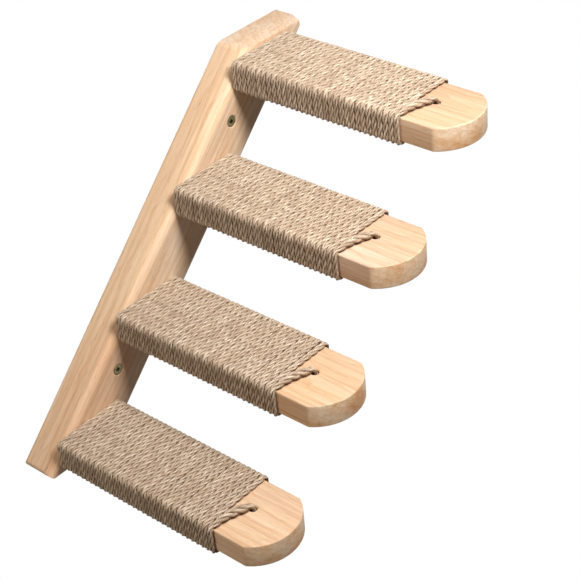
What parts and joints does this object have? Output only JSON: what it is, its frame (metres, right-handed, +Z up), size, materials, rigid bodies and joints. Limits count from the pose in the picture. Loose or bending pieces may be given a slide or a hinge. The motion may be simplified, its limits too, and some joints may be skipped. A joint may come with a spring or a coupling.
{
  "type": "cat wall step",
  "caption": "Slanted wooden wall board with level projecting treads, each wound with jute rope, screwed to a wall for a cat to climb.",
  "frame": {"origin": "on the board's back face, midway between the two wall screws", "axes": "+X to the right along the wall, +Y into the wall, +Z up"},
  "size_m": [0.4283, 0.3246, 0.3293],
  "materials": {
    "board_wood": "sanded rubberwood with a thin clear coat",
    "tread_wood": "sanded rubberwood with a thin clear coat",
    "jute": "three-strand twisted jute",
    "screw_steel": "dark yellow-passivated steel"
  },
  "bodies": {
    "root": {"backboard": "board_wood", "tread_top": "tread_wood", "tread_upper": "tread_wood", "tread_lower": "tread_wood", "tread_bottom": "tread_wood", "rope_top": "jute", "rope_upper": "jute", "rope_lower": "jute", "rope_bottom": "jute", "tread_screw_top_left": "screw_steel", "tread_screw_top_right": "screw_steel", "tread_screw_upper_left": "screw_steel", "tread_screw_upper_right": "screw_steel", "tread_screw_lower_left": "screw_steel", "tread_screw_lower_right": "screw_steel", "tread_screw_bottom_left": "screw_steel", "tread_screw_bottom_right": "screw_steel", "wall_screw_upper": "screw_steel", "wall_screw_lower": "screw_steel"}
  },
  "joints": []
}
